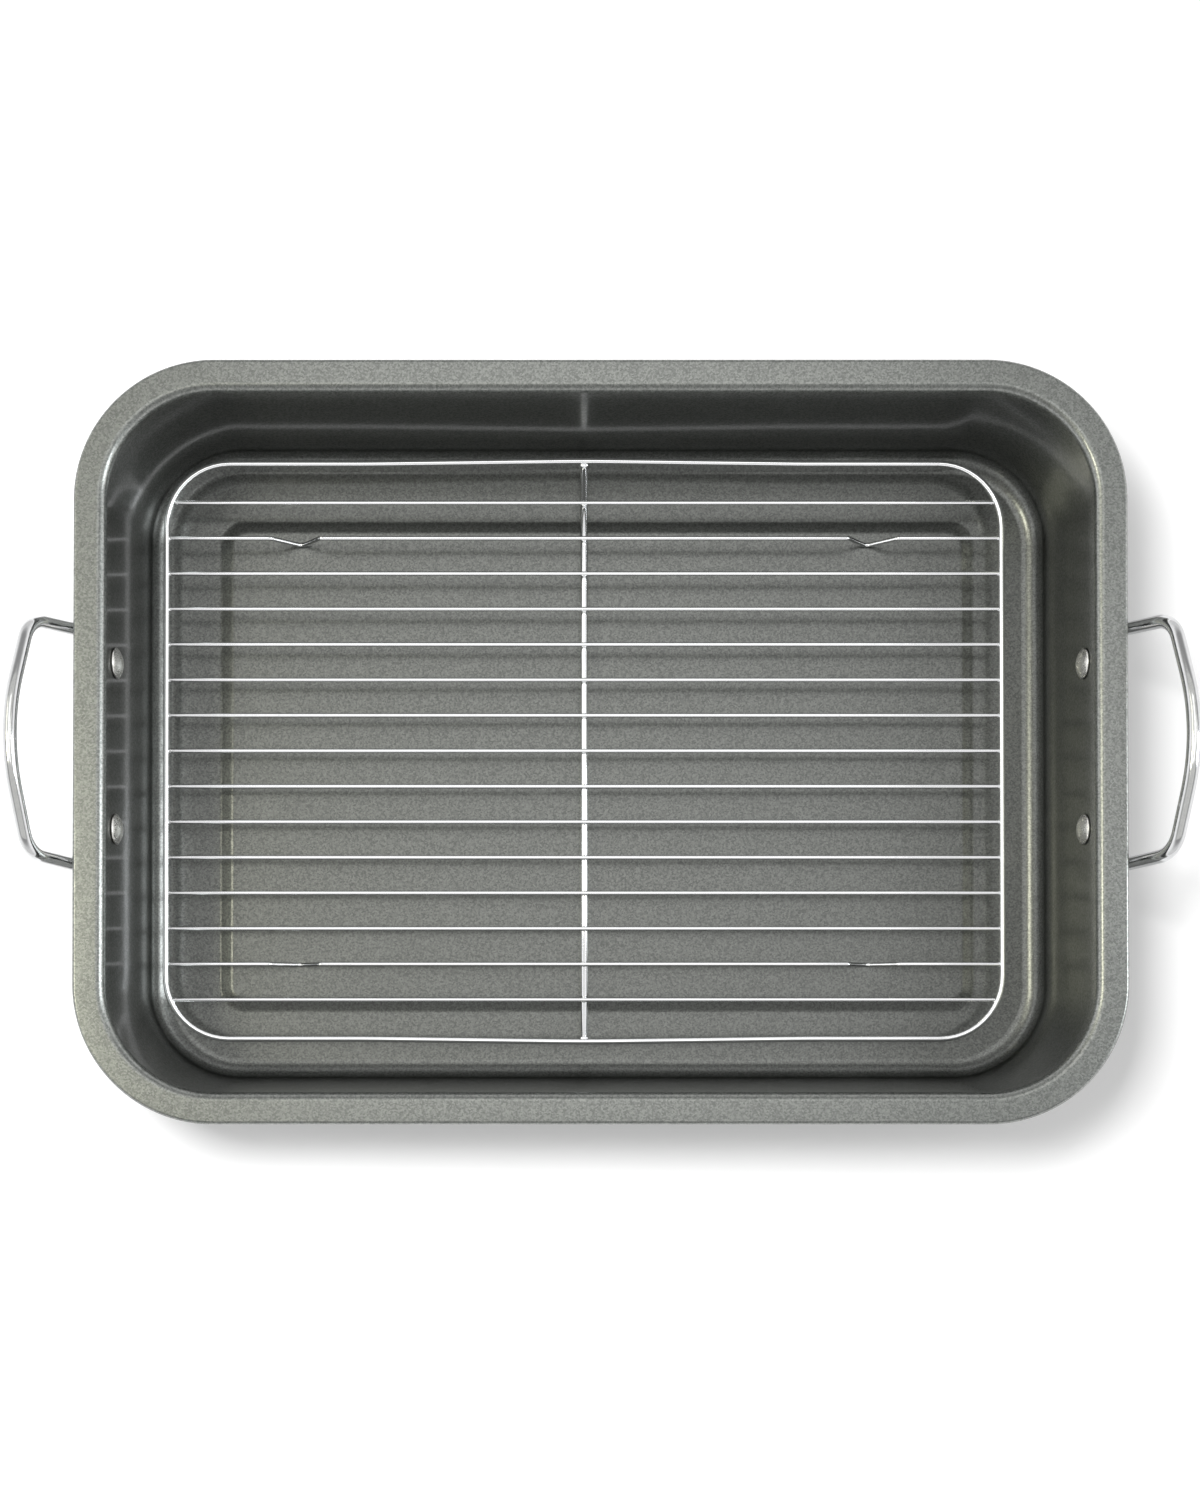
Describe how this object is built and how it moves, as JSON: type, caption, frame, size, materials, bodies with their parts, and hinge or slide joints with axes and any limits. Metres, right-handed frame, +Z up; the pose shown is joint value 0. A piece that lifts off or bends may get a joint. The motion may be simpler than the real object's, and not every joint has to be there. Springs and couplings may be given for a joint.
{
  "type": "roasting pan with rack",
  "caption": "Rectangular non-stick roasting pan with a flat rim, upright riveted wire handles and a loose flat wire rack standing on V-shaped feet.",
  "frame": {"origin": "middle of the pan's underside, on the surface that it stands on", "axes": "+X along the pan's length, from the left handle to the right one; +Y to the back; +Z up"},
  "size_m": [0.4436, 0.294, 0.0916],
  "materials": {
    "coating": "semi-gloss dark grey non-stick coating with metallic flakes, on drawn carbon steel",
    "chrome": "bright chrome plating on steel wire",
    "rivet": "plain steel with a lightly scuffed dome"
  },
  "bodies": {
    "pan": {"pan_shell": "coating", "handle_left": "chrome", "handle_right": "chrome", "rivet_left_front": "rivet", "rivet_left_back": "rivet", "rivet_right_front": "rivet", "rivet_right_back": "rivet"},
    "rack": {"rack_frame": "chrome", "rack_cross_bar": "chrome", "rack_foot_wire_back": "chrome", "rack_foot_wire_front": "chrome", "rack_wire_01": "chrome", "rack_wire_03": "chrome", "rack_wire_04": "chrome", "rack_wire_05": "chrome", "rack_wire_06": "chrome", "rack_wire_07": "chrome", "rack_wire_08": "chrome", "rack_wire_09": "chrome", "rack_wire_10": "chrome", "rack_wire_11": "chrome", "rack_wire_12": "chrome", "rack_wire_13": "chrome", "rack_wire_15": "chrome"}
  },
  "joints": [
    {"name": "rack_lift", "type": "slide", "parent": "pan", "child": "rack", "axis": [0, 0, 1], "range_m": [0, 0.12]}
  ]
}
